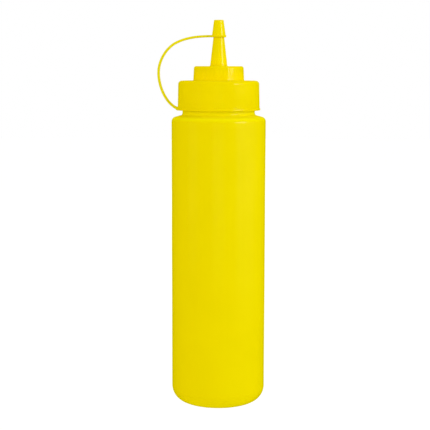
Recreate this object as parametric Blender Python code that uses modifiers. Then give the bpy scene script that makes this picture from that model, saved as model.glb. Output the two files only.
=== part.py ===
"""Squeeze bottle for sauce, shut: a tall soft bottle and a screw lid with a pouring nozzle.

The lid is one moulding: its rim carries a thin strand, and the strand carries the cover that
closes the nozzle's tip. The bottle's neck fills the lid, as the shut bottle can't be seen into.

Metres, +Z up. The origin is the centre of the base, and the strand's loop stands out along -X.
"""

import math

import bmesh
import bpy
from mathutils import Vector

MM = 0.001

# Bottle: a blown tube with a rounded heel and a short sloping shoulder.
BODY_RADIUS = 33.0 * MM
HEEL_RADIUS = 10.5 * MM
SHOULDER_EDGE_RADIUS = 3.5 * MM
SHOULDER_EDGE_HEIGHT = 200.32 * MM  # where the straight wall ends
SHOULDER_SLOPE_DEG = 15.0
NECK_RADIUS = 25.4 * MM
NECK_FILLET = 1.7 * MM

# Lid, from its rim up.
RIM_HEIGHT = 208.3 * MM  # underside of the rim, above the base
RIM_RADIUS = 29.2 * MM
RIM_THICKNESS = 1.5 * MM
RIM_SHOULDER_DEG = 50.0  # how far up its round edge the rim leaves the skirt
SKIRT_CLEAR_OF_RIM = 0.2 * MM
SKIRT_RADIUS_LOW = 28.7 * MM
SKIRT_RADIUS_HIGH = 28.35 * MM
SKIRT_TOP_HEIGHT = 228.85 * MM
SKIRT_FILLET = 2.4 * MM
LID_ROOF = 2.6 * MM  # thickness over the bottle's neck
STEP_RADIUS_LOW = 17.75 * MM
STEP_RADIUS_HIGH = 17.4 * MM
STEP_TOP_HEIGHT = 238.95 * MM
STEP_FILLET = 1.6 * MM
ROOT_FILLET = 0.8 * MM  # at the foot of the step and of the nozzle
NOZZLE_RADIUS_LOW = 6.05 * MM
NOZZLE_RADIUS_TIP = 2.95 * MM
NOZZLE_TIP_HEIGHT = 267.0 * MM
NOZZLE_TIP_FILLET = 0.5 * MM

# Cover on the nozzle's tip.
COVER_MOUTH_HEIGHT = 258.9 * MM
COVER_TOP_HEIGHT = 270.8 * MM
COVER_RADIUS_MOUTH = 4.93 * MM
COVER_RADIUS_TOP = 3.4 * MM
COVER_LIP = 0.25 * MM  # how far the mouth's lip stands out
COVER_LIP_HEIGHT = 1.6 * MM
COVER_TOP_FILLET = 0.5 * MM

# Strand between the rim and the cover: a round section that thins towards the cover. Each knot has
# its place (x, z), the direction it runs in (degrees, 180 is along -X) and its two handle lengths.
STRAND_RADIUS = 0.86 * MM
STRAND_KNOTS = (
    {"place": (-4.5, 259.65), "heading": 180.0, "handles": (3.0, 11.5), "size": 0.80},
    {"place": (-30.3, 254.75), "heading": 208.0, "handles": (7.6, 6.8), "size": 0.90},
    {"place": (-42.05, 234.5), "heading": 270.0, "handles": (8.5, 11.1), "size": 0.96},
    {"place": (-27.9, 209.05), "heading": 342.0, "handles": (8.6, 3.0), "size": 1.00},
)

GAP = 0.3 * MM  # between pieces that touch
TURN_STEPS = 72  # sides of the bottle and the lid
COVER_TURN_STEPS = 40
WELD = 0.001 * MM
CORNER_DEG = 32.0  # a sharper corner than this stays sharp in shading

YELLOW = (0.84, 0.69, 0.0, 1.0)


def clear_scene():
    for obj in list(bpy.data.objects):
        bpy.data.objects.remove(obj, do_unlink=True)


def plastic(name, colour, roughness):
    """A plain moulded plastic."""
    material = bpy.data.materials.new(name)
    material.use_nodes = True
    shader = material.node_tree.nodes["Principled BSDF"]
    shader.inputs["Base Color"].default_value = colour
    shader.inputs["Roughness"].default_value = roughness
    shader.inputs["Metallic"].default_value = 0.0
    return material


def arc(centre, radius, start_deg, end_deg, pieces):
    """Points (radius, height) along a round stretch of a profile, ends included."""
    points = []
    for i in range(pieces + 1):
        angle = math.radians(start_deg + (end_deg - start_deg) * i / pieces)
        points.append(
            (centre[0] + radius * math.cos(angle), centre[1] + radius * math.sin(angle))
        )
    return points


def turned(name, profile, steps, collection):
    """A solid turned about Z from a profile that starts and ends on the axis, as a mesh object."""
    mesh = bpy.data.meshes.new(name)
    sketch = bmesh.new()
    corners = [sketch.verts.new((r, 0.0, z)) for r, z in profile]
    for upper, lower in zip(corners, corners[1:]):
        sketch.edges.new((upper, lower))
    sketch.to_mesh(mesh)
    sketch.free()
    obj = bpy.data.objects.new(name, mesh)
    collection.objects.link(obj)
    screw = obj.modifiers.new("Turn", "SCREW")
    screw.axis = "Z"
    screw.angle = math.tau
    screw.steps = steps
    screw.render_steps = steps
    screw.use_merge_vertices = True
    screw.merge_threshold = WELD
    return as_mesh(obj)


def as_mesh(obj):
    """Replaces an object by one that holds its evaluated mesh, with no modifiers left."""
    name = obj.name
    bpy.context.view_layer.update()
    graph = bpy.context.evaluated_depsgraph_get()
    mesh = bpy.data.meshes.new_from_object(obj.evaluated_get(graph))
    weld = bmesh.new()
    weld.from_mesh(mesh)
    bmesh.ops.remove_doubles(weld, verts=weld.verts, dist=WELD)
    weld.to_mesh(mesh)
    weld.free()
    solid = bpy.data.objects.new(name, mesh)
    solid.matrix_world = obj.matrix_world
    for collection in obj.users_collection:
        collection.objects.link(solid)
    bpy.data.objects.remove(obj, do_unlink=True)
    solid.name = name
    mesh.name = name
    return solid


def bottle_profile():
    """Neck, shoulder, wall, heel and flat base."""
    neck_top = SKIRT_TOP_HEIGHT - LID_ROOF - GAP
    slope = math.radians(SHOULDER_SLOPE_DEG)
    edge_centre = (BODY_RADIUS - SHOULDER_EDGE_RADIUS, SHOULDER_EDGE_HEIGHT)
    edge = arc(edge_centre, SHOULDER_EDGE_RADIUS, 90.0 - SHOULDER_SLOPE_DEG, 0.0, 6)
    # The slope runs up from the edge and meets the neck in a fillet that touches both.
    fillet_radius = NECK_RADIUS + NECK_FILLET
    edge_radius, edge_height = edge[0]
    slope_height = edge_height + (edge_radius - fillet_radius) * math.tan(slope)
    fillet_centre = (fillet_radius, slope_height + NECK_FILLET / math.cos(slope))
    fillet = arc(fillet_centre, NECK_FILLET, 180.0, 270.0 - SHOULDER_SLOPE_DEG, 4)
    heel = arc((BODY_RADIUS - HEEL_RADIUS, HEEL_RADIUS), HEEL_RADIUS, 0.0, -90.0, 9)
    return [(0.0, neck_top), (NECK_RADIUS, neck_top), *fillet, *edge, *heel, (0.0, 0.0)]


def nozzle_radius(height):
    """The nozzle's outer radius, which narrows evenly to its tip."""
    rise = (height - STEP_TOP_HEIGHT) / (NOZZLE_TIP_HEIGHT - STEP_TOP_HEIGHT)
    return NOZZLE_RADIUS_LOW + (NOZZLE_RADIUS_TIP - NOZZLE_RADIUS_LOW) * rise


def lid_profile():
    """Nozzle, step, skirt and rim on the outside, then the hollow that takes the neck."""
    tip = arc(
        (NOZZLE_RADIUS_TIP - NOZZLE_TIP_FILLET, NOZZLE_TIP_HEIGHT - NOZZLE_TIP_FILLET),
        NOZZLE_TIP_FILLET, 90.0, 0.0, 2,
    )
    nozzle_root = arc(
        (nozzle_radius(STEP_TOP_HEIGHT) + ROOT_FILLET, STEP_TOP_HEIGHT + ROOT_FILLET),
        ROOT_FILLET, 180.0, 270.0, 2,
    )
    step_edge = arc(
        (STEP_RADIUS_HIGH - STEP_FILLET, STEP_TOP_HEIGHT - STEP_FILLET),
        STEP_FILLET, 90.0, 0.0, 4,
    )
    step_root = arc(
        (STEP_RADIUS_LOW + ROOT_FILLET, SKIRT_TOP_HEIGHT + ROOT_FILLET),
        ROOT_FILLET, 180.0, 270.0, 2,
    )
    skirt_edge = arc(
        (SKIRT_RADIUS_HIGH - SKIRT_FILLET, SKIRT_TOP_HEIGHT - SKIRT_FILLET),
        SKIRT_FILLET, 90.0, 0.0, 5,
    )
    round_edge = RIM_THICKNESS / 2.0
    rim = arc(
        (RIM_RADIUS - round_edge, RIM_HEIGHT + round_edge),
        round_edge, RIM_SHOULDER_DEG, -90.0, 5,
    )
    skirt_foot = (SKIRT_RADIUS_LOW, rim[0][1] + SKIRT_CLEAR_OF_RIM)
    bore_radius = NECK_RADIUS + GAP
    roof = SKIRT_TOP_HEIGHT - LID_ROOF
    return [
        (0.0, NOZZLE_TIP_HEIGHT), *tip, *nozzle_root, *step_edge, *step_root, *skirt_edge,
        skirt_foot, *rim, (bore_radius, RIM_HEIGHT), (bore_radius, roof), (0.0, roof),
    ]


def cover_profile():
    """A tapered thimble: flat top, lip round its mouth, and a hollow that clears the nozzle."""
    top_edge = arc(
        (COVER_RADIUS_TOP - COVER_TOP_FILLET, COVER_TOP_HEIGHT - COVER_TOP_FILLET),
        COVER_TOP_FILLET, 90.0, 0.0, 3,
    )
    lip_top = COVER_MOUTH_HEIGHT + COVER_LIP_HEIGHT
    lip_radius = COVER_RADIUS_MOUTH + COVER_LIP
    fall = (COVER_TOP_HEIGHT - lip_top) / (COVER_TOP_HEIGHT - COVER_MOUTH_HEIGHT)
    wall_radius = COVER_RADIUS_TOP + (COVER_RADIUS_MOUTH - COVER_RADIUS_TOP) * fall
    ceiling = NOZZLE_TIP_HEIGHT + GAP
    return [
        (0.0, COVER_TOP_HEIGHT), *top_edge,
        (wall_radius, lip_top), (lip_radius, lip_top - COVER_LIP), (lip_radius, COVER_MOUTH_HEIGHT),
        (nozzle_radius(COVER_MOUTH_HEIGHT) + GAP, COVER_MOUTH_HEIGHT),
        (NOZZLE_RADIUS_TIP + GAP, ceiling), (0.0, ceiling),
    ]


def strand(name, collection):
    """The round strand, as a mesh whose ends lie inside the rim and inside the cover's wall."""
    curve = bpy.data.curves.new(name, "CURVE")
    curve.dimensions = "3D"
    curve.bevel_depth = STRAND_RADIUS
    curve.bevel_resolution = 3
    curve.use_fill_caps = True
    curve.resolution_u = 14
    spline = curve.splines.new("BEZIER")
    spline.bezier_points.add(len(STRAND_KNOTS) - 1)
    for point, knot in zip(spline.bezier_points, STRAND_KNOTS):
        x, z = knot["place"]
        place = Vector((x, 0.0, z)) * MM
        heading = math.radians(knot["heading"])
        along = Vector((math.cos(heading), 0.0, math.sin(heading))) * MM
        before, after = knot["handles"]
        point.handle_left_type = "FREE"
        point.handle_right_type = "FREE"
        point.co = place
        point.handle_left = place - along * before
        point.handle_right = place + along * after
        point.radius = knot["size"]
    obj = bpy.data.objects.new(name, curve)
    collection.objects.link(obj)
    return as_mesh(obj)


def fuse(base, collection):
    """Joins the collection's solids to the base as one solid, and removes them."""
    union = base.modifiers.new("Fuse", "BOOLEAN")
    union.operation = "UNION"
    union.operand_type = "COLLECTION"
    union.collection = collection
    union.solver = "EXACT"
    fused = as_mesh(base)
    for obj in list(collection.objects):
        bpy.data.objects.remove(obj, do_unlink=True)
    bpy.data.collections.remove(collection)
    return fused


def finish(obj, material):
    """Smooth shading that keeps true corners, and the part's one material."""
    obj.data.shade_smooth()
    obj.data.set_sharp_from_angle(angle=math.radians(CORNER_DEG))
    obj.data.materials.clear()
    obj.data.materials.append(material)


def build():
    clear_scene()
    parts = bpy.data.collections.new("sauce_bottle")
    bpy.context.scene.collection.children.link(parts)
    mouldings = bpy.data.collections.new("lid_mouldings")
    bpy.context.scene.collection.children.link(mouldings)

    bottle = turned("bottle", bottle_profile(), TURN_STEPS, parts)
    finish(bottle, plastic("bottle_plastic", YELLOW, 0.45))

    lid = turned("lid", lid_profile(), TURN_STEPS, parts)
    turned("cover", cover_profile(), COVER_TURN_STEPS, mouldings)
    strand("strand", mouldings)
    lid = fuse(lid, mouldings)
    finish(lid, plastic("lid_plastic", YELLOW, 0.35))


build()
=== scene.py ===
"""Looks of a yellow squeeze bottle for sauce, shut, standing in a plain white studio.

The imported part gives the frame. Each sub-assembly below makes its own fine mesh over the solid
that it stands for, and dresses it in moulded plastic. Lengths are in metres; MM writes them in
millimetres. The front faces -Y and the strand's loop stands out along -X.
"""

import logging
import math
from dataclasses import dataclass, field
from enum import Enum
from typing import Callable, Sequence

import bmesh
import bpy
from mathutils import Euler, Matrix, Vector, noise
from mathutils.geometry import interpolate_bezier

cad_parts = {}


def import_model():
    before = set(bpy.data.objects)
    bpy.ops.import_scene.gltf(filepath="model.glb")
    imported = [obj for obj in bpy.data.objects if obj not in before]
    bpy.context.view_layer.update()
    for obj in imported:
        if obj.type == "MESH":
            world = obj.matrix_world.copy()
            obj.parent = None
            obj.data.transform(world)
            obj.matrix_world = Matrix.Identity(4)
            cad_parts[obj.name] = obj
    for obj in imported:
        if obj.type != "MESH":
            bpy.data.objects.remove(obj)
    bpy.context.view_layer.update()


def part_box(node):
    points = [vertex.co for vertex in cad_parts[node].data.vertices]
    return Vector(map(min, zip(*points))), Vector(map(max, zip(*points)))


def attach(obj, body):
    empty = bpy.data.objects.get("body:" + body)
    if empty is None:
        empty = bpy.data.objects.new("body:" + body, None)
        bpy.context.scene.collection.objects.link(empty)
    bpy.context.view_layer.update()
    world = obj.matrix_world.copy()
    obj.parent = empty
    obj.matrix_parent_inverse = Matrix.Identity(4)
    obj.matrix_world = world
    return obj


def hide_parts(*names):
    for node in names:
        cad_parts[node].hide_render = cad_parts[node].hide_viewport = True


log = logging.getLogger("sauce_bottle")

MM = 0.001
ON_AXIS = 1e-6
SAME_PLACE = 1e-6
NECK_RADIUS = 25.4 * MM
BODY = "root"

Pair = tuple[float, float]
Triple = tuple[float, float, float]
Point = Pair
Colour = Triple
Relief = Callable[[float, float, float], float]

WHITE: Colour = (1.0, 1.0, 1.0)


# ---------------------------------------------------------------------------------------------
# Shader maths
# ---------------------------------------------------------------------------------------------


# A Mix node's colour sockets, by number: its two inputs and its output.
MIX_LOW, MIX_HIGH, MIX_RESULT = 6, 7, 2


class Shade:
    """One output of a node tree, on which Python's operators add Math nodes."""

    def __init__(self, tree: "ShaderTree", socket: bpy.types.NodeSocket) -> None:
        """Keeps the tree, so that an operator can add to it, and the socket."""
        self.tree = tree
        self.socket = socket

    def __add__(self, other: "Shade | float") -> "Shade":
        """Sum of the two."""
        return self.tree.maths("ADD", self, other)

    def __sub__(self, other: "Shade | float") -> "Shade":
        """This less the other."""
        return self.tree.maths("SUBTRACT", self, other)

    def __rsub__(self, other: float) -> "Shade":
        """The number less this."""
        return self.tree.maths("SUBTRACT", other, self)

    def __mul__(self, other: "Shade | float") -> "Shade":
        """Product of the two."""
        return self.tree.maths("MULTIPLY", self, other)

    __radd__ = __add__
    __rmul__ = __mul__

    def __abs__(self) -> "Shade":
        """Its size without its sign."""
        return self.tree.maths("ABSOLUTE", self)

    def ramp(self, low: float, high: float) -> "Shade":
        """0 up to low, 1 from high on, and a smooth step between them.

        Args:
            low: where the step starts.
            high: where it ends; below low, the step falls instead.

        Returns:
            The stepped value.
        """
        settings = {"interpolation_type": "SMOOTHSTEP", "clamp": True}
        sockets = {"Value": self, "From Min": low, "From Max": high, "To Min": 0.0, "To Max": 1.0}
        return self.tree.add("ShaderNodeMapRange", settings, sockets)


class ShaderTree:
    """The node tree of a material or a world, emptied but for its output."""

    def __init__(self, owner: bpy.types.Material | bpy.types.World) -> None:
        """Clears the owner's nodes and makes its output.

        Args:
            owner: the material or world.
        """
        owner.use_nodes = True
        self.nodes = owner.node_tree.nodes
        self.links = owner.node_tree.links
        self.nodes.clear()
        kind = "World" if isinstance(owner, bpy.types.World) else "Material"
        self.output = self.nodes.new("ShaderNodeOutput" + kind)

    def add(
        self,
        kind: str,
        settings: dict[str, object] | None = None,
        sockets: "dict[str | int, Shade | float | Sequence[float]] | None" = None,
        result: str | int = 0,
    ) -> Shade:
        """Adds a node.

        Args:
            kind: the node's type.
            settings: its own settings, set before its sockets.
            sockets: the value or link of each input, by name or number.
            result: which output to hand back.

        Returns:
            That output.
        """
        node = self.nodes.new(kind)
        for name, value in (settings or {}).items():
            setattr(node, name, value)
        for name, value in (sockets or {}).items():
            if isinstance(value, Shade):
                self.links.new(value.socket, node.inputs[name])
            else:
                node.inputs[name].default_value = value
        return Shade(self, node.outputs[result])

    def maths(self, operation: str, *values: "Shade | float") -> Shade:
        """One Math node.

        Args:
            operation: the node's operation.
            values: its inputs, in order.

        Returns:
            Its value.
        """
        return self.add("ShaderNodeMath", {"operation": operation}, dict(enumerate(values)))

    def noise(self, place: Shade, size: float, detail: float, roughness: float = 0.5) -> Shade:
        """Noise between 0 and 1.

        Args:
            place: the coordinates that it reads.
            size: the size of its lumps, in the coordinates' units.
            detail: how many finer octaves it has.
            roughness: how strong they are.

        Returns:
            The noise's value.
        """
        sockets = {"Vector": place, "Scale": 1.0 / size, "Detail": detail, "Roughness": roughness}
        return self.add("ShaderNodeTexNoise", {"noise_dimensions": "3D"}, sockets)

    def stretched(self, place: Shade, scale: Triple) -> Shade:
        """The coordinates, multiplied along each axis."""
        return self.add("ShaderNodeVectorMath", {"operation": "MULTIPLY"}, {0: place, 1: scale})

    def upward(self, vector: Shade) -> Shade:
        """The Z of a vector: a point's height, or how far a direction looks up."""
        return self.add("ShaderNodeSeparateXYZ", None, {"Vector": vector}, "Z")

    def blend(self, low: "Shade | Colour", high: "Shade | Colour", share: Shade) -> Shade:
        """A colour between two.

        Args:
            low: the colour where share is 0.
            high: the colour where share is 1.
            share: how much of high there is.

        Returns:
            The mixed colour.
        """
        low, high = [c if isinstance(c, Shade) else (*c, 1.0) for c in (low, high)]
        settings = {"data_type": "RGBA", "blend_type": "MIX", "clamp_factor": True}
        sockets = {"Factor": share, MIX_LOW: low, MIX_HIGH: high}
        return self.add("ShaderNodeMix", settings, sockets, MIX_RESULT)

    def finish(self, surface: Shade) -> None:
        """Puts the surface on the material's output."""
        self.links.new(surface.socket, self.output.inputs["Surface"])


# ---------------------------------------------------------------------------------------------
# Finishes
# ---------------------------------------------------------------------------------------------


BOTTLE_YELLOW: Colour = (0.955, 0.80, 0.0)
# Painted light: paler yellow painted on the bottle's neck, its slope and the shoulder's edge,
# brightening the shade under the lid's rim.
PAINTED_NECK_LIGHT_YELLOW: Colour = (1.0, 0.91, 0.0)
LID_YELLOW: Colour = (0.98, 0.80, 0.0)
# Painted light: paler yellow painted on the nozzle and its cover, a painted glow of light through
# their thin walls.
PAINTED_NOZZLE_GLOW_YELLOW: Colour = (1.0, 0.83, 0.0)
STRAND_YELLOW: Colour = (0.87, 0.80, 0.02)


class Gloss(Enum):
    """How a plastic surface came out of its mould, as a shader roughness."""

    BLOWN = 0.15
    POLISHED = 0.10
    STRAND = 0.24


@dataclass(frozen=True)
class PaintedLightBand:
    """Painted light: a band between two heights, painted in a paler colour that brightens the
    surface there.
    """

    low: float
    high: float
    colour: Colour

    def over(self, tree: ShaderTree, place: Shade, colour: Shade) -> Shade:
        """The colour, painted paler over the band as painted light."""
        return tree.blend(colour, self.colour, tree.upward(place).ramp(self.low, self.high))


@dataclass(frozen=True)
class Scuffs:
    """The dull, paler rubbing that a standing face picks up, in specks up to a height.

    A rubbed speck keeps a share of the plastic's colour and is lifted towards white. It covers
    the clean colour by its cover, and its dullness adds to the roughness.
    """

    height: float
    speck_size: float = 0.9 * MM
    speck_detail: float = 4.0
    speck_roughness: float = 0.7
    speck_edge: Pair = (0.45, 0.62)
    kept: float = 0.94
    lift: float = 0.04
    cover: float = 0.6
    dullness: float = 0.25

    def over(
        self, tree: ShaderTree, place: Shade, plastic: Colour, colour: Shade, rough: Shade
    ) -> tuple[Shade, Shade]:
        """Adds the rubbing to a clean finish.

        Args:
            tree: the material's tree.
            place: the coordinates.
            plastic: the plastic's plain colour, which the rubbing turns paler.
            colour: the clean colour.
            rough: the clean roughness.

        Returns:
            The rubbed colour and roughness.
        """
        low = tree.upward(place).ramp(self.height, 0.0)
        specks = tree.noise(place, self.speck_size, self.speck_detail, self.speck_roughness)
        rubbed = low * specks.ramp(*self.speck_edge)
        worn = tuple(min(1.0, c * self.kept + self.lift) for c in plastic)
        return tree.blend(colour, worn, rubbed * self.cover), rough + rubbed * self.dullness


@dataclass(frozen=True)
class MouldedPlastic:
    """Yellow polyethylene: colour with a slight drift, skin texture, and marks of use.

    The grain is the fine orange peel of the skin. The drift is the slow change in tone from
    thick to thin wall. The draw is streaks along Z, as a blown wall has. The matte top is how
    much rougher the faces that look up are, as the mould is polished along its walls alone. The
    glow is light that enters the plastic and comes out again, red further away than blue.
    """

    name: str
    colour: Colour
    gloss: Gloss
    specular: float = 0.28
    refraction: float = 1.5
    drift: float = 0.03
    drift_size: float = 28.0 * MM
    drift_detail: float = 2.0
    drift_range: Pair = (0.2, 0.8)
    drift_roughness: float = 0.10
    grain_size: float = 1.1 * MM
    grain_detail: float = 2.0
    grain_height: float = 0.010 * MM
    draw: float = 0.0
    draw_width: float = 2.4 * MM
    draw_detail: float = 3.0
    draw_stretch: Triple = (1.0, 1.0, 0.025)
    draw_roughness: float = 0.25
    draw_height: float = 0.02 * MM
    scuffs: Scuffs | None = None
    matte_top: float = 0.0
    top_facing: Pair = (0.55, 0.9)
    painted_light_band: PaintedLightBand | None = None
    glow: float = 0.12
    glow_depth: float = 0.8 * MM
    glow_reach: Triple = (1.0, 0.85, 0.1)

    def material(self) -> bpy.types.Material:
        """Builds the material.

        Returns:
            The finished material.
        """
        material = bpy.data.materials.new(self.name)
        tree = ShaderTree(material)
        place = tree.add("ShaderNodeTexCoord", result="Object")
        slow = tree.noise(place, self.drift_size, self.drift_detail)
        fine = tree.noise(place, self.grain_size, self.grain_detail)
        drawn = tree.stretched(place, self.draw_stretch)
        streaks = tree.noise(drawn, self.draw_width, self.draw_detail)
        deep = tuple(c * (1.0 - self.drift) for c in self.colour)
        pale = tuple(min(1.0, c * (1.0 + self.drift)) for c in self.colour)
        tone = slow + (streaks - 0.5) * self.draw
        colour = tree.blend(deep, pale, tone.ramp(*self.drift_range))
        rough = self.gloss.value + (slow - 0.5) * self.drift_roughness
        rough = rough + (streaks - 0.5) * (self.draw_roughness * self.draw)
        if self.matte_top:
            facing = tree.add("ShaderNodeTexCoord", result="Normal")
            rough = rough + tree.upward(facing).ramp(*self.top_facing) * self.matte_top
        # Painted light: a paler colour painted over a band of heights.
        if self.painted_light_band:
            colour = self.painted_light_band.over(tree, place, colour)
        if self.scuffs:
            colour, rough = self.scuffs.over(tree, place, self.colour, colour, rough)
        relief = fine * self.grain_height + streaks * (self.draw * self.draw_height)
        bump = tree.add("ShaderNodeBump", None, {"Height": relief, "Distance": 1.0})
        tree.finish(tree.add("ShaderNodeBsdfPrincipled", None, {
            "Base Color": colour,
            "Roughness": rough,
            "Metallic": 0.0,
            "Specular IOR Level": self.specular,
            "IOR": self.refraction,
            "Subsurface Weight": self.glow,
            "Subsurface Radius": self.glow_reach,
            "Subsurface Scale": self.glow_depth,
            "Normal": bump,
        }))
        return material

    def dress(self, piece: bpy.types.Object, slot: str) -> None:
        """Gives a piece this finish.

        Args:
            piece: the piece.
            slot: not used.
        """
        piece.data.materials.clear()
        piece.data.materials.append(self.material())


# ---------------------------------------------------------------------------------------------
# Turned shapes
# ---------------------------------------------------------------------------------------------


# A sharper corner than this stays sharp in the shading, and large faces count for more in it.
TURNED_CORNER_DEG = 35.0
SWEPT_CORNER_DEG = 50.0
LARGE_FACE_WEIGHT = 60


@dataclass
class Outline:
    """The outline of a turned piece: points (radius, height) from its top down its outer side."""

    points: list[Point] = field(default_factory=list)

    def add(self, radius: float, height: float) -> None:
        """Adds a point, unless the outline ends there already."""
        if not self.points or math.dist(self.points[-1], (radius, height)) > SAME_PLACE:
            self.points.append((radius, height))

    def to(self, radius: float, height: float, step: float = 0.0) -> "Outline":
        """Runs straight to a point.

        Args:
            radius: the point's distance from the axis.
            height: its height.
            step: the most that may lie between two rings on the way; 0 puts none there.

        Returns:
            The outline itself.
        """
        if step and self.points:
            last_radius, last_height = self.points[-1]
            length = math.hypot(radius - last_radius, height - last_height)
            pieces = max(1, math.ceil(length / step))
            for i in range(1, pieces):
                share = i / pieces
                self.add(
                    last_radius + (radius - last_radius) * share,
                    last_height + (height - last_height) * share,
                )
        self.add(radius, height)
        return self

    def round(
        self, centre: Point, radius: float, start_deg: float, end_deg: float, pieces: int
    ) -> "Outline":
        """Runs along an arc.

        Args:
            centre: the arc's centre, as (radius, height).
            radius: the arc's own radius.
            start_deg: where it starts; 0 is outward, 90 is up.
            end_deg: where it ends.
            pieces: how many straight pieces stand for it.

        Returns:
            The outline itself.
        """
        for i in range(pieces + 1):
            angle = math.radians(start_deg + (end_deg - start_deg) * i / pieces)
            self.add(centre[0] + radius * math.cos(angle), centre[1] + radius * math.sin(angle))
        return self


def even_columns(count: int, seams: Sequence[float] = (), seam_width: float = 0.0) -> list[float]:
    """Angles round the axis, with closer ones about each seam.

    Args:
        count: how many even ones there are.
        seams: angles of mould seams.
        seam_width: half the angle that a seam takes.

    Returns:
        The angles in rising order.
    """
    angles = [math.tau * i / count for i in range(count)]
    clear = 2.5 * seam_width
    for seam in seams:
        angles = [a for a in angles if abs(math.remainder(a - seam, math.tau)) > clear]
        angles += [(seam + seam_width * k) % math.tau for k in (-2.0, -1.0, 0.0, 1.0, 2.0)]
    return sorted(angles)


def turned(
    name: str, outline: Outline, columns: Sequence[float], relief: Relief | None = None
) -> bpy.types.Object:
    """Turns an outline round Z into a closed mesh.

    Args:
        name: the piece's name.
        outline: its outline, from the axis at the top to the axis at the bottom.
        columns: the angles of its columns of points.
        relief: how far a point stands out, from its angle, its radius and its height.

    Returns:
        The piece.
    """
    sketch = bmesh.new()
    rings = []
    for radius, height in outline.points:
        if radius < ON_AXIS:
            rings.append([sketch.verts.new((0.0, 0.0, height))])
            continue
        ring = []
        for angle in columns:
            out = radius + (relief(angle, radius, height) if relief else 0.0)
            ring.append(sketch.verts.new((out * math.cos(angle), out * math.sin(angle), height)))
        rings.append(ring)
    for upper, lower in zip(rings, rings[1:]):
        for i in range(len(columns)):
            j = (i + 1) % len(columns)
            corners = [upper[i % len(upper)], lower[i % len(lower)]]
            corners += [lower[j % len(lower)], upper[j % len(upper)]]
            sketch.faces.new(list(dict.fromkeys(corners)))
    return as_piece(name, sketch)


def as_piece(
    name: str, sketch: bmesh.types.BMesh, corner_deg: float = TURNED_CORNER_DEG
) -> bpy.types.Object:
    """Makes a smooth-shaded object of a sketch, and frees the sketch.

    Args:
        name: the piece's name.
        sketch: its mesh.
        corner_deg: a sharper corner than this stays sharp.

    Returns:
        The piece, linked to the scene.
    """
    mesh = bpy.data.meshes.new(name)
    sketch.to_mesh(mesh)
    sketch.free()
    mesh.shade_smooth()
    mesh.set_sharp_from_angle(angle=math.radians(corner_deg))
    piece = bpy.data.objects.new(name, mesh)
    bpy.context.scene.collection.objects.link(piece)
    even = piece.modifiers.new("Even shading", "WEIGHTED_NORMAL")
    even.keep_sharp = True
    even.weight = LARGE_FACE_WEIGHT
    return piece


def swept(
    name: str, route: Sequence[Vector], radii: Sequence[float], sides: int
) -> bpy.types.Object:
    """Sweeps a round section along a route in the plane Y = 0.

    Args:
        name: the piece's name.
        route: the points that its middle follows.
        radii: the section's radius at each of them.
        sides: how many sides the section has.

    Returns:
        The piece, closed at both ends.
    """
    sketch = bmesh.new()
    rings = []
    for i, (place, radius) in enumerate(zip(route, radii)):
        along = (route[min(i + 1, len(route) - 1)] - route[max(i - 1, 0)]).normalized()
        side = Vector((0.0, 1.0, 0.0))
        out = side.cross(along)
        ring = []
        for k in range(sides):
            turn = math.tau * k / sides
            offset = side * math.cos(turn) + out * math.sin(turn)
            ring.append(sketch.verts.new(place + offset * radius))
        rings.append(ring)
    for near, far in zip(rings, rings[1:]):
        for k in range(sides):
            m = (k + 1) % sides
            sketch.faces.new((near[k], near[m], far[m], far[k]))
    sketch.faces.new(list(reversed(rings[0])))
    sketch.faces.new(rings[-1])
    bmesh.ops.recalc_face_normals(sketch, faces=sketch.faces)
    return as_piece(name, sketch, SWEPT_CORNER_DEG)


# ---------------------------------------------------------------------------------------------
# The bottle
# ---------------------------------------------------------------------------------------------


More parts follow.
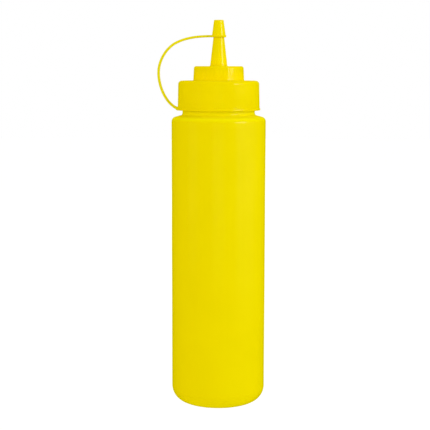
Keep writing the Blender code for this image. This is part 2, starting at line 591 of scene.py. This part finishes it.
@dataclass
class BlownBottle:
    """The blown bottle: neck, shoulder, wall, heel and a base that is pushed up inside its foot.

    Its radius and the height of its neck come from the frame. The wall is slightly uneven, in
    broad lumps that fade out towards the foot, and the mould left a seam at each side and a
    pinched line across the base.
    """

    heel_radius: float = 10.5 * MM
    edge_radius: float = 3.5 * MM
    edge_height: float = 200.32 * MM
    slope_deg: float = 15.0
    neck_radius: float = NECK_RADIUS
    neck_fillet: float = 1.7 * MM
    neck_chamfer: float = 0.6 * MM
    neck_support: float = 1.0 * MM
    foot_width: float = 2.2 * MM
    push_up: float = 2.6 * MM
    push_up_power: float = 1.4
    base_rings: int = 12
    ring_step: float = 2.5 * MM
    columns: int = 176
    seam_height: float = 0.10 * MM
    seam_half_width: float = 0.22 * MM
    unevenness: float = 0.09 * MM
    lumps_round: float = 1.3
    lump_height: float = 48.0 * MM
    even_below: float = 1.0 * MM
    fade_height: float = 12.0 * MM
    pinch_half_length: float = 15.0 * MM
    pinch_radius: float = 0.55 * MM
    pinch_lift: float = 0.1 * MM
    pinch_end: float = 0.05
    pinch_bluntness: int = 4
    pinch_pieces: int = 40
    pinch_sides: int = 12
    finish: MouldedPlastic = MouldedPlastic(
        "blown_yellow_plastic", BOTTLE_YELLOW, Gloss.BLOWN,
        drift=0.015, draw=0.3, scuffs=Scuffs(1.2 * MM), matte_top=0.6,
        # Painted light: the neck and its slope are painted paler, lifting the shade under the
        # lid's rim.
        painted_light_band=PaintedLightBand(200.5 * MM, 203.5 * MM, PAINTED_NECK_LIGHT_YELLOW),
    )
    radius: float = 0.0
    neck_top: float = 0.0

    def measure(self) -> None:
        """Takes the wall's radius and the neck's height from the frame."""
        low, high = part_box("bottle")
        self.radius = (high[0] - low[0]) / 2.0
        self.neck_top = high[2]

    def base_height(self, share: float) -> float:
        """The base's height, at a share of the way in from its foot to its middle."""
        return self.push_up * math.sin(share * math.pi / 2.0) ** self.push_up_power

    def outline(self) -> Outline:
        """The bottle's outline, from the top of its neck to the middle of its base.

        Returns:
            The outline.
        """
        slope = math.radians(self.slope_deg)
        edge_centre = (self.radius - self.edge_radius, self.edge_height)
        edge_start = 90.0 - self.slope_deg
        start_radius = edge_centre[0] + self.edge_radius * math.sin(slope)
        start_height = edge_centre[1] + self.edge_radius * math.cos(slope)
        fillet_radius = self.neck_radius + self.neck_fillet
        slope_height = start_height + (start_radius - fillet_radius) * math.tan(slope)
        fillet_centre = (fillet_radius, slope_height + self.neck_fillet / math.cos(slope))
        foot_outer = self.radius - self.heel_radius
        foot_inner = foot_outer - self.foot_width
        outline = Outline().to(0.0, self.neck_top)
        outline.to(self.neck_radius - self.neck_chamfer, self.neck_top)
        outline.to(self.neck_radius, self.neck_top - self.neck_chamfer)
        outline.to(self.neck_radius, fillet_centre[1] + self.neck_support, self.ring_step)
        outline.round(fillet_centre, self.neck_fillet, 180.0, 270.0 - self.slope_deg, pieces=5)
        outline.round(edge_centre, self.edge_radius, edge_start, 0.0, pieces=12)
        outline.to(self.radius, self.heel_radius, self.ring_step)
        outline.round((foot_outer, self.heel_radius), self.heel_radius, 0.0, -90.0, pieces=22)
        outline.to(foot_inner, 0.0)
        for i in range(1, self.base_rings):
            share = i / self.base_rings
            outline.to(foot_inner * (1.0 - share), self.base_height(share))
        return outline.to(0.0, self.push_up)

    def relief(self, angle: float, radius: float, height: float) -> float:
        """How far the blown wall stands out from its outline.

        Args:
            angle: round the axis.
            radius: the outline's distance from the axis.
            height: the outline's height.

        Returns:
            The mould's seam and the wall's slow unevenness.
        """
        if height < self.even_below or radius < self.neck_radius + self.neck_fillet:
            return 0.0
        across = self.radius * abs(math.remainder(2.0 * angle, math.tau)) / 2.0
        seam = self.seam_height * max(0.0, 1.0 - across / self.seam_half_width)
        place = Vector((
            math.cos(angle) * self.lumps_round,
            math.sin(angle) * self.lumps_round,
            height / self.lump_height,
        ))
        ease = min(1.0, (height - self.even_below) / self.fade_height)
        return seam + self.unevenness * noise.noise(place) * ease

    def build(self) -> list[bpy.types.Object]:
        """Makes the bottle and the pinched line across its base.

        Returns:
            Its pieces.
        """
        self.measure()
        seam_angle = self.seam_half_width / self.radius
        columns = even_columns(self.columns, (0.0, math.pi), seam_angle)
        shell = turned("bottle_shell", self.outline(), columns, self.relief)
        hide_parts("bottle")
        pinch = self.pinched_line()
        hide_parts("bottle")
        for piece in (shell, pinch):
            self.finish.dress(piece, "bottle_plastic")
        return [shell, pinch]

    def pinched_line(self) -> bpy.types.Object:
        """Makes the low ridge across the base where the mould pinched the tube shut.

        Returns:
            The ridge, half sunk in the base and thinner towards its ends.
        """
        foot_inner = self.radius - self.heel_radius - self.foot_width
        route, radii = [], []
        for i in range(self.pinch_pieces + 1):
            x = self.pinch_half_length * (2.0 * i / self.pinch_pieces - 1.0)
            height = self.base_height(1.0 - abs(x) / foot_inner) + self.pinch_lift
            fullness = 1.0 - (x / self.pinch_half_length) ** self.pinch_bluntness
            route.append(Vector((x, 0.0, height)))
            radii.append(self.pinch_radius * math.sqrt(max(self.pinch_end, fullness)))
        return swept("base_pinch_line", route, radii, self.pinch_sides)


# ---------------------------------------------------------------------------------------------
# The lid's moulding
# ---------------------------------------------------------------------------------------------


@dataclass
class ScrewLid:
    """The lid: a rim, a skirt, a step and the nozzle, hollow where the bottle's neck sits.

    The skirt starts at skirt_foot over the centre of the rim's upper corner. The roof is the
    thickness of the skirt's top over the hollow, and the gap is the play round the neck.
    """

    rim_height: float = 208.3 * MM
    rim_radius: float = 29.2 * MM
    rim_thickness: float = 1.5 * MM
    rim_corner: float = 0.45 * MM
    rim_draft_deg: float = 4.5
    rim_crown_deg: float = 70.0
    skirt_foot: float = 0.675 * MM
    skirt_radius_low: float = 28.7 * MM
    skirt_radius_high: float = 28.35 * MM
    skirt_top: float = 228.85 * MM
    skirt_fillet: float = 2.4 * MM
    roof: float = 2.6 * MM
    step_radius_low: float = 17.75 * MM
    step_radius_high: float = 17.4 * MM
    step_top: float = 238.95 * MM
    step_fillet: float = 1.6 * MM
    root_fillet: float = 0.8 * MM
    nozzle_radius_low: float = 6.05 * MM
    nozzle_radius_tip: float = 2.95 * MM
    nozzle_tip: float = 267.0 * MM
    gap: float = 0.3 * MM
    neck_radius: float = NECK_RADIUS
    hollow_chamfer: float = 0.3 * MM
    ring_step: float = 3.0 * MM
    columns: int = 168
    finish: MouldedPlastic = MouldedPlastic(
        "moulded_yellow_plastic", LID_YELLOW, Gloss.POLISHED,
        drift=0.02, drift_size=14.0 * MM, grain_size=0.7 * MM, grain_height=0.004 * MM,
        # Painted light: the nozzle and its cover are painted paler, as a painted glow.
        matte_top=0.7, painted_light_band=PaintedLightBand(239.5 * MM, 244.0 * MM, PAINTED_NOZZLE_GLOW_YELLOW),
    )

    def nozzle_radius(self, height: float) -> float:
        """The nozzle's outer radius at a height."""
        rise = (height - self.step_top) / (self.nozzle_tip - self.step_top)
        return self.nozzle_radius_low + (self.nozzle_radius_tip - self.nozzle_radius_low) * rise

    def outline(self) -> Outline:
        """The lid's outline, from the nozzle's tip down and up into the hollow.

        Returns:
            The outline.
        """
        root = self.root_fillet
        bore = self.neck_radius + self.gap
        roof = self.skirt_top - self.roof
        fall = self.nozzle_radius_low - self.nozzle_radius_tip
        lean = math.atan2(fall, self.nozzle_tip - self.step_top)
        foot_height = self.step_top + root * (1.0 - math.sin(lean))
        foot_radius = self.nozzle_radius(foot_height)
        outline = Outline().to(0.0, self.nozzle_tip)
        outline.round(
            (self.nozzle_radius_tip - root, self.nozzle_tip - root), root, 90.0, 0.0, pieces=4
        )
        outline.to(foot_radius, foot_height, self.ring_step)
        outline.round(
            (foot_radius + root * math.cos(lean), self.step_top + root),
            root, 180.0 + math.degrees(lean), 270.0, pieces=5,
        )
        outline.round(
            (self.step_radius_high - self.step_fillet, self.step_top - self.step_fillet),
            self.step_fillet, 90.0, 0.0, pieces=9,
        )
        outline.to(self.step_radius_low, self.skirt_top + root, self.ring_step)
        outline.round(
            (self.step_radius_low + root, self.skirt_top + root), root, 180.0, 270.0, pieces=5
        )
        outline.round(
            (self.skirt_radius_high - self.skirt_fillet, self.skirt_top - self.skirt_fillet),
            self.skirt_fillet, 90.0, 0.0, pieces=12,
        )
        corner, draft = self.rim_corner, self.rim_draft_deg
        face = self.rim_thickness - 2.0 * corner
        lower = (self.rim_radius - corner, self.rim_height + corner)
        upper = (lower[0] - face * math.tan(math.radians(draft)), lower[1] + face)
        outline.to(self.skirt_radius_low, upper[1] + self.skirt_foot, self.ring_step)
        outline.round(upper, corner, self.rim_crown_deg, draft, pieces=4)
        outline.round(lower, corner, draft, -90.0, pieces=6)
        outline.to(bore + self.hollow_chamfer, self.rim_height)
        outline.to(bore, self.rim_height + self.hollow_chamfer)
        outline.to(bore, roof, self.ring_step)
        return outline.to(0.0, roof)

    def build(self) -> list[bpy.types.Object]:
        """Makes the lid without its strand and cover.

        Returns:
            Its one piece.
        """
        shell = turned("lid_shell", self.outline(), even_columns(self.columns))
        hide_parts("lid")
        self.finish.dress(shell, "lid_plastic")
        return [shell]


@dataclass
class TipCover:
    """The tapered cover that shuts the nozzle's tip, with a small dimple in its top."""

    lid: ScrewLid
    mouth_height: float = 258.9 * MM
    mouth_radius: float = 4.93 * MM
    top_radius: float = 3.4 * MM
    lip: float = 0.25 * MM
    lip_height: float = 1.6 * MM
    top_fillet: float = 0.5 * MM
    dimple_radius: float = 0.9 * MM
    dimple_floor_radius: float = 0.63 * MM
    dimple_depth: float = 0.25 * MM
    ring_step: float = 2.0 * MM
    columns: int = 72
    top_height: float = 0.0

    def outline(self) -> Outline:
        """The cover's outline, from its top down to its mouth and up inside.

        Returns:
            The outline.
        """
        lip_top = self.mouth_height + self.lip_height
        fall = (self.top_height - lip_top) / (self.top_height - self.mouth_height)
        wall_radius = self.top_radius + (self.mouth_radius - self.top_radius) * fall
        lip_radius = self.mouth_radius + self.lip
        ceiling = self.lid.nozzle_tip + self.lid.gap
        inner_mouth = self.lid.nozzle_radius(self.mouth_height) + self.lid.gap
        outline = Outline().to(0.0, self.top_height - self.dimple_depth)
        outline.to(self.dimple_floor_radius, self.top_height - self.dimple_depth)
        outline.to(self.dimple_radius, self.top_height)
        outline.round(
            (self.top_radius - self.top_fillet, self.top_height - self.top_fillet),
            self.top_fillet, 90.0, 0.0, pieces=6,
        )
        outline.to(wall_radius, lip_top, self.ring_step)
        outline.to(lip_radius, lip_top - self.lip)
        outline.to(lip_radius, self.mouth_height + self.lip)
        outline.to(lip_radius - self.lip, self.mouth_height)
        outline.to(inner_mouth, self.mouth_height)
        outline.to(self.lid.nozzle_radius_tip + self.lid.gap, ceiling, self.ring_step)
        return outline.to(0.0, ceiling)

    def build(self) -> list[bpy.types.Object]:
        """Makes the cover, up to the top of the frame's lid.

        Returns:
            Its one piece.
        """
        self.top_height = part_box("lid")[1][2]
        cover = turned("tip_cover", self.outline(), even_columns(self.columns))
        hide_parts("lid")
        self.lid.finish.dress(cover, "lid_plastic")
        return [cover]


@dataclass(frozen=True)
class Knot:
    """A point of the strand's route: its place (x, z), its heading, its two handles, its radius.

    All its lengths are in millimetres. The heading counts from +X towards +Z.
    """

    x: float
    z: float
    heading_deg: float
    before: float
    after: float
    radius: float

    def handle(self, length: float) -> Vector:
        """A point ahead of it along its heading.

        Args:
            length: how far ahead, in millimetres; behind it if negative.

        Returns:
            The point, in metres.
        """
        heading = math.radians(self.heading_deg)
        along = Vector((math.cos(heading), 0.0, math.sin(heading)))
        return Vector((self.x, 0.0, self.z)) * MM + along * length * MM


@dataclass
class Strand:
    """The thin strand from the cover's mouth to the lid's rim, flared where it joins the rim.

    The flare is whole as far as flare_start from the strand's end at the rim, and gone at
    flare_length further.
    """

    knots: tuple[Knot, ...] = (
        Knot(-4.5, 259.65, 180.0, 3.0, 11.5, 0.80),
        Knot(-30.3, 254.75, 208.0, 7.6, 6.8, 0.89),
        Knot(-42.05, 234.5, 270.0, 8.5, 11.1, 0.94),
        Knot(-27.9, 209.05, 342.0, 8.6, 3.0, 0.97),
    )
    pieces_a_span: int = 48
    sides: int = 20
    flare: float = 0.35 * MM
    flare_start: float = 1.3 * MM
    flare_length: float = 1.6 * MM
    finish: MouldedPlastic = MouldedPlastic(
        "strand_yellow_plastic", STRAND_YELLOW, Gloss.STRAND,
        drift=0.03, drift_size=6.0 * MM, grain_size=0.5 * MM, grain_height=0.003 * MM,
    )

    def route(self) -> tuple[list[Vector], list[float]]:
        """The strand's middle line and its radius along it.

        Returns:
            The points, and the radius at each.
        """
        points: list[Vector] = []
        radii: list[float] = []
        for first, last in zip(self.knots, self.knots[1:]):
            span = interpolate_bezier(
                first.handle(0.0), first.handle(first.after),
                last.handle(-last.before), last.handle(0.0), self.pieces_a_span + 1,
            )
            start = 1 if points else 0
            for i in range(start, len(span)):
                share = i / self.pieces_a_span
                points.append(span[i])
                radii.append((first.radius + (last.radius - first.radius) * share) * MM)
        return points, self.flared(points, radii)

    def flared(self, points: list[Vector], radii: list[float]) -> list[float]:
        """Widens the strand towards its end at the rim.

        Args:
            points: its middle line.
            radii: its plain radii.

        Returns:
            The widened radii.
        """
        widened = []
        for place, radius in zip(points, radii):
            past = (place - points[-1]).length - self.flare_start
            near = max(0.0, 1.0 - past / self.flare_length)
            widened.append(radius + self.flare * min(1.0, near) ** 2)
        return widened

    def build(self) -> list[bpy.types.Object]:
        """Makes the strand.

        Returns:
            Its one piece.
        """
        points, radii = self.route()
        strand = swept("strand", points, radii, self.sides)
        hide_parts("lid")
        self.finish.dress(strand, "lid_plastic")
        return [strand]


# ---------------------------------------------------------------------------------------------
# The studio
# ---------------------------------------------------------------------------------------------


WARM_WHITE: Colour = (1.0, 0.80, 0.6)


@dataclass(frozen=True)
class Softbox:
    """A rectangular studio lamp that is aimed at the bottle.

    Its azimuth counts from the camera's side towards +X, and its elevation from the level of the
    bottle's middle.
    """

    name: str
    azimuth_deg: float
    radiance: float
    elevation_deg: float = 5.0
    distance: float = 1.4
    width: float = 0.8
    height: float = 0.8
    colour: Colour = WHITE
    lights_diffuse: bool = True
    lights_gloss: bool = False
    aim_height: float = 150.0 * MM

    def build(self) -> bpy.types.Object:
        """Makes the lamp.

        Returns:
            The lamp.
        """
        data = bpy.data.lights.new(self.name, "AREA")
        data.shape = "RECTANGLE"
        data.size = self.width
        data.size_y = self.height
        data.energy = self.radiance * math.pi * data.size * data.size_y
        data.color = self.colour
        lamp = bpy.data.objects.new(self.name, data)
        azimuth, elevation = math.radians(self.azimuth_deg), math.radians(self.elevation_deg)
        level = self.distance * math.cos(elevation)
        lamp.location = (
            level * math.sin(azimuth),
            -level * math.cos(azimuth),
            self.aim_height + self.distance * math.sin(elevation),
        )
        lamp.rotation_euler = (math.radians(90.0) - elevation, 0.0, azimuth)
        lamp.visible_camera = False
        lamp.visible_diffuse = self.lights_diffuse
        lamp.visible_glossy = self.lights_gloss
        bpy.context.scene.collection.objects.link(lamp)
        return lamp


@dataclass
class Studio:
    """White surroundings, a pale floor, soft lamps and the camera.

    The surroundings glow softly. Each share of the glow grows across a range of directions, given
    by how far they look up, from -1 straight down to 1 straight up.
    """

    ambient: Colour = (1.0, 0.96, 0.0)
    from_all_round: float = 0.24
    from_above: float = 0.47
    above_range: Pair = (0.0, 0.5)
    from_sides: float = 0.28
    sides_range: Pair = (0.6, 0.1)
    from_floor: float = 1.2
    floor_range: Pair = (-0.55, -0.95)
    floor_in_gloss: float = 0.3
    floor_grey: Colour = (0.12, 0.12, 0.12)
    floor_roughness: float = 0.9
    floor_glow: float = 1.0
    floor_half_width: float = 3.0
    floor_squares: int = 8
    floor_drop: float = 0.2 * MM
    lamps: tuple[Softbox, ...] = (
        Softbox("left_softbox", -66.0, 1.64, colour=WARM_WHITE),
        Softbox("front_softbox", 0.0, 1.43),
        Softbox("right_softbox", 60.0, 0.93),
        Softbox("upper_softbox", 60.0, 1.22, elevation_deg=30.0),
        Softbox("side_softbox", 90.0, 0.96),
        Softbox("rear_softbox", 180.0, 2.0, width=1.2),
        Softbox(
            "lid_gleam", 56.0, 4.6, elevation_deg=19.1, distance=1.217, width=0.55, height=0.46,
            lights_diffuse=False, lights_gloss=True,
        ),
    )
    focal_px: float = 1150.0
    frame_px: float = 430.0
    sensor_mm: float = 36.0
    nearest: float = 0.05
    furthest: float = 50.0
    camera_distance: float = 810.1 * MM
    camera_height: float = 238.3 * MM
    camera_side: float = -2.44 * MM
    pitch_deg: float = 7.33
    roll_deg: float = 0.1

    def world(self) -> None:
        """White surroundings for the camera, and a soft yellowish glow for every surface.

        The glow comes from all round, and more of it from above, from the sides and from the
        floor, whose share is weaker in gloss.
        """
        world = bpy.data.worlds.new("studio")
        bpy.context.scene.world = world
        tree = ShaderTree(world)
        place = tree.add("ShaderNodeTexCoord", result="Generated")
        rise = tree.upward(place)
        above = rise.ramp(*self.above_range) * self.from_above
        sides = abs(rise).ramp(*self.sides_range) * self.from_sides
        by_gloss = tree.add("ShaderNodeLightPath", result="Is Glossy Ray")
        dimmed = 1.0 - by_gloss * (1.0 - self.floor_in_gloss)
        floor = rise.ramp(*self.floor_range) * dimmed * self.from_floor
        felt = tree.add("ShaderNodeBackground", None, {
            "Color": (*self.ambient, 1.0),
            "Strength": above + sides + floor + self.from_all_round,
        })
        seen = tree.add("ShaderNodeBackground", None, {"Color": (*WHITE, 1.0)})
        by_camera = tree.add("ShaderNodeLightPath", result="Is Camera Ray")
        tree.finish(tree.add("ShaderNodeMixShader", None, {0: by_camera, 1: felt, 2: seen}))

    def floor(self) -> bpy.types.Object:
        """The pale floor, whose own glow keeps it white.

        Returns:
            The floor.
        """
        sketch = bmesh.new()
        squares = self.floor_squares
        bmesh.ops.create_grid(
            sketch, x_segments=squares, y_segments=squares, size=self.floor_half_width
        )
        floor = as_piece("studio_floor", sketch)
        material = bpy.data.materials.new("pale_floor")
        tree = ShaderTree(material)
        tree.finish(tree.add("ShaderNodeBsdfPrincipled", None, {
            "Base Color": (*self.floor_grey, 1.0),
            "Roughness": self.floor_roughness,
            "Specular IOR Level": 0.0,
            "Emission Color": (*WHITE, 1.0),
            "Emission Strength": self.floor_glow,
        }))
        material.cycles.emission_sampling = "NONE"
        floor.data.materials.append(material)
        floor.visible_diffuse = False
        floor.visible_glossy = False
        floor.visible_shadow = False
        floor.location.z = -self.floor_drop
        return floor

    def camera(self) -> bpy.types.Object:
        """The camera, level with the lid's top and looking a little down.

        Returns:
            The camera.
        """
        data = bpy.data.cameras.new("camera")
        data.sensor_width = self.sensor_mm
        data.lens = self.focal_px * self.sensor_mm / self.frame_px
        data.clip_start, data.clip_end = self.nearest, self.furthest
        camera = bpy.data.objects.new("camera", data)
        tilt = Euler((math.radians(90.0 - self.pitch_deg), 0.0, 0.0)).to_matrix()
        roll = Matrix.Rotation(math.radians(self.roll_deg), 3, "Z")
        camera.matrix_world = Matrix.LocRotScale(
            Vector((self.camera_side, -self.camera_distance, self.camera_height)),
            (tilt @ roll).to_quaternion(), None,
        )
        bpy.context.scene.collection.objects.link(camera)
        bpy.context.scene.camera = camera
        return camera

    def build(self) -> None:
        """Sets up the studio."""
        bpy.context.scene.view_settings.view_transform = "Standard"
        self.world()
        self.floor()
        for lamp in self.lamps:
            lamp.build()
        self.camera()


def main() -> None:
    """Builds the studio and the bottle's pieces in order."""
    logging.basicConfig(level=logging.INFO, format="%(name)s: %(message)s")
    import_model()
    Studio().build()
    lid = ScrewLid()
    for part in (BlownBottle(), lid, Strand(), TipCover(lid)):
        for piece in part.build():
            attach(piece, BODY)
            log.info("%s: %d faces", piece.name, len(piece.data.polygons))


if __name__ == "__main__":
    main()
